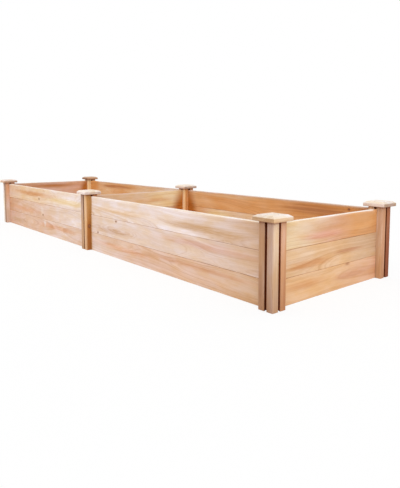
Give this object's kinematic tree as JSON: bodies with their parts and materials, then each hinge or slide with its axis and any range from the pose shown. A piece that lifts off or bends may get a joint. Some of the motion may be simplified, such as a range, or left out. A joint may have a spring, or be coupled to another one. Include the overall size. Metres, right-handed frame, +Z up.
{
  "type": "raised garden bed",
  "caption": "Long raised garden bed with a divider: stacked cedar boards dovetailed into square posts with bevelled caps, open at top and bottom.",
  "frame": {"origin": "on the ground, at the middle of the bed's plan", "axes": "+X along the bed towards its right end, +Y from the front wall to the back wall, +Z up"},
  "size_m": [2.5272, 0.6984, 0.2952],
  "materials": {
    "cedar_post": "planed, unfinished cedar with straight vertical grain",
    "cedar_cap": "planed, unfinished cedar, paler, with saw marks on the end grain",
    "cedar_long_board": "planed, unfinished cedar, pinkish tan with small knots",
    "cedar_cross_board": "planed, unfinished cedar, warm tan with small knots",
    "nail_steel": "dull galvanised"
  },
  "bodies": {
    "root": {"post_front_left": "cedar_post", "post_front_middle": "cedar_post", "post_front_right": "cedar_post", "post_back_left": "cedar_post", "post_back_middle": "cedar_post", "post_back_right": "cedar_post", "cap_front_left": "cedar_cap", "cap_front_middle": "cedar_cap", "cap_front_right": "cedar_cap", "cap_back_left": "cedar_cap", "cap_back_middle": "cedar_cap", "cap_back_right": "cedar_cap", "board_front_left_bottom": "cedar_long_board", "board_front_left_middle": "cedar_long_board", "board_front_left_top": "cedar_long_board", "board_front_right_bottom": "cedar_long_board", "board_front_right_middle": "cedar_long_board", "board_front_right_top": "cedar_long_board", "board_back_left_bottom": "cedar_long_board", "board_back_left_middle": "cedar_long_board", "board_back_left_top": "cedar_long_board", "board_back_right_bottom": "cedar_long_board", "board_back_right_middle": "cedar_long_board", "board_back_right_top": "cedar_long_board", "board_left_end_bottom": "cedar_cross_board", "board_left_end_middle": "cedar_cross_board", "board_left_end_top": "cedar_cross_board", "board_divider_bottom": "cedar_cross_board", "board_divider_middle": "cedar_cross_board", "board_divider_top": "cedar_cross_board", "board_right_end_bottom": "cedar_cross_board", "board_right_end_middle": "cedar_cross_board", "board_right_end_top": "cedar_cross_board", "cap_nails": "nail_steel"}
  },
  "joints": []
}
